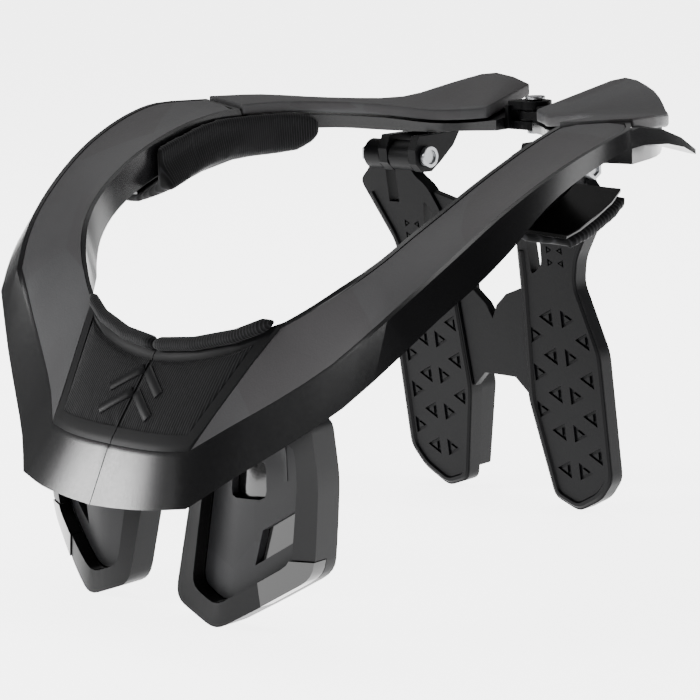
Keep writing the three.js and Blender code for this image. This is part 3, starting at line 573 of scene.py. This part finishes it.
def swell(piece, voxel, cap, shrink):
    """Stuffed look: the skin is shrunk a little and blown up by a short cloth run, never further than the cap.
    A voxel size remeshes it first; without one the skin is only subdivided. All three are in millimetres."""
    if voxel:
        remesh = piece.modifiers.new("remesh", "REMESH")
        remesh.mode = "VOXEL"
        remesh.voxel_size = voxel * MM
    else:
        split = piece.modifiers.new("split", "SUBSURF")
        split.subdivision_type = "SIMPLE"
        split.levels = split.render_levels = 3
    baked(piece)
    mesh = piece.data
    normals = [v.normal.copy() for v in mesh.vertices]
    for vertex, normal in zip(mesh.vertices, normals):
        vertex.co -= normal * shrink * MM
    start = [v.co.copy() for v in mesh.vertices]
    cloth = piece.modifiers.new("cloth", "CLOTH")
    cloth.settings.use_pressure = True
    cloth.settings.uniform_pressure_force = CLOTH_PRESSURE
    cloth.settings.effector_weights.gravity = 0
    cloth.settings.quality = 4
    cloth.settings.mass = 0.3
    cloth.point_cache.frame_start = 1
    cloth.point_cache.frame_end = CLOTH_FRAMES
    for step in range(1, CLOTH_FRAMES + 1):
        bpy.context.scene.frame_set(step)
    baked(piece)
    bpy.context.scene.frame_set(1)
    limit = cap * MM
    for vertex, rest in zip(piece.data.vertices, start):
        move = vertex.co - rest
        if move.length > limit:
            vertex.co = rest + move.normalized() * limit
    smooth = piece.modifiers.new("smooth", "SMOOTH")
    smooth.factor = 0.5
    smooth.iterations = 8 if voxel else 2
    fine = piece.modifiers.new("fine", "SUBSURF")
    fine.levels = fine.render_levels = 1
    baked(piece)
    piece.data.shade_smooth()


PADS = {                     # knit, voxel, cap, shrink, fill
    "chin_pad": (CHIN_KNIT, 0, 0.7, 0.1, 0.8),
    "shoulder_pad": (SHOULDER_KNIT, 1.3, 1.1, 0.3, 0.7),
}
for side in SIDES:
    for kind, (knit, voxel, cap, shrink, fill) in PADS.items():
        node = f"{side}_{kind}"
        pad = put("fine_" + node, welded(node, COPLANAR_CURVED), BODY_OF[node], knit)
        swell(pad, voxel, cap, shrink)
        pad.data.materials.clear()
        pad.data.materials.append(knit)
        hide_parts(node)


# ---- Chin plate: fabric roll along the neck edge and a plain chevron motif ----
CHIN_RAIL = [(0.5, -94, 93), (18, -92.3, 94.6), (35, -88.4, 98), (47.6, -83.4, 102.4)]
ROLL_LIFT = (1.0, 1.1, 1.5, 2.2)             # height of the roll's top over each point of the rail
ROLL_DEPTH, ROLL_HEIGHT = 3.0, 2.5           # half sizes of its section
ROLL_SINK = 1.2
ROLL_BACK = 2.6
ROLL_RINGS, ROLL_FACETS = 24, 16


def chin_roll(side):
    """A fabric roll along the neck edge of the chin plate, closed in at both ends."""
    rings = []
    for k in range(ROLL_RINGS + 1):
        t = k / ROLL_RINGS * (len(CHIN_RAIL) - 1)
        i = min(int(t), len(CHIN_RAIL) - 2)
        spot = Vector(CHIN_RAIL[i]).lerp(Vector(CHIN_RAIL[i + 1]), t - i)
        lift = ROLL_LIFT[i] + (ROLL_LIFT[i + 1] - ROLL_LIFT[i]) * (t - i)
        ends = min(1.0, (k + 0.6) * 1.1, (ROLL_RINGS - k) * 0.35 + 0.35)      # share of the full section
        away = Vector((0.25 * spot.x / 48, 1, 0)).normalized()
        middle = spot + Vector((0, 0, lift - ROLL_SINK)) - away * ROLL_BACK
        ring = []
        for a in range(ROLL_FACETS):
            turn = 2 * math.pi * a / ROLL_FACETS
            up = Vector((0, 0, ROLL_HEIGHT * ends * math.sin(turn)))
            ring.append(placed(side, *(middle + away * ROLL_DEPTH * ends * math.cos(turn) + up)))
        rings.append(ring)
    return skin("chin_roll", rings)


# The chin pad's slope: its top at the neck edge, the way down it and the way out of it.
SLOPE_TOP = Vector((0, -94, 93))
SLOPE = Vector((0, -26.6, -32.7)).normalized()
SLOPE_OUT = Vector((0, -0.776, 0.631))
PROBE_FROM = 12              # millimetres over the slope, from where the pad's surface is looked for
CHEVRON_TOPS = (11.0, 20.0)  # millimetres down the slope
CHEVRON_REACH, CHEVRON_FALL = 12.5, 0.7
CHEVRON_GAP = 0.8            # from the seam
CHEVRON_WIDTH, CHEVRON_RISE, CHEVRON_SINK = 3.6, 0.6, 0.3
CHEVRON_STEPS = 12


def chevron_arm(side, top):
    """A flat strip laid on the chin pad and following its crown."""
    pad = bpy.data.objects[f"fine_{side}_chin_pad"]
    tree = BVHTree.FromPolygons([v.co for v in pad.data.vertices], [tuple(f.vertices) for f in pad.data.polygons])

    def ground(x, down, up):
        spot = placed(side, *(SLOPE_TOP + SLOPE * down + Vector((x, 0, 0))))
        hit = tree.ray_cast(spot + SLOPE_OUT * PROBE_FROM * MM, -SLOPE_OUT)[0]
        return (hit if hit else spot) + SLOPE_OUT * up * MM

    start = Vector((CHEVRON_GAP, top))
    end = Vector((CHEVRON_REACH, top + CHEVRON_REACH * CHEVRON_FALL))
    way = (end - start).normalized()
    across = Vector((-way.y, way.x)) * CHEVRON_WIDTH / 2
    flank = CHEVRON_RISE * 0.6
    section = ((1, -CHEVRON_SINK), (1, flank), (0.7, CHEVRON_RISE),
               (-0.7, CHEVRON_RISE), (-1, flank), (-1, -CHEVRON_SINK))
    rings = []
    for k in range(CHEVRON_STEPS + 1):
        spot = start.lerp(end, k / CHEVRON_STEPS)
        rings.append([ground(*(spot + across * reach), up) for reach, up in section])
    return skin("chevron", rings)


for side in SIDES:
    roll = put(f"{side}_chin_roll", chin_roll(side), f"{side}_half", CHIN_KNIT)
    roll.data.shade_smooth()
    for row, top in enumerate(CHEVRON_TOPS):
        arm = put(f"{side}_chevron_{row}", chevron_arm(side, top), f"{side}_half",
                  MATERIALS["soft_grey"])
        arm.data.shade_smooth()
        arm.data.set_sharp_from_angle(angle=math.radians(STRIP_SHARP_FROM["chevron"]))
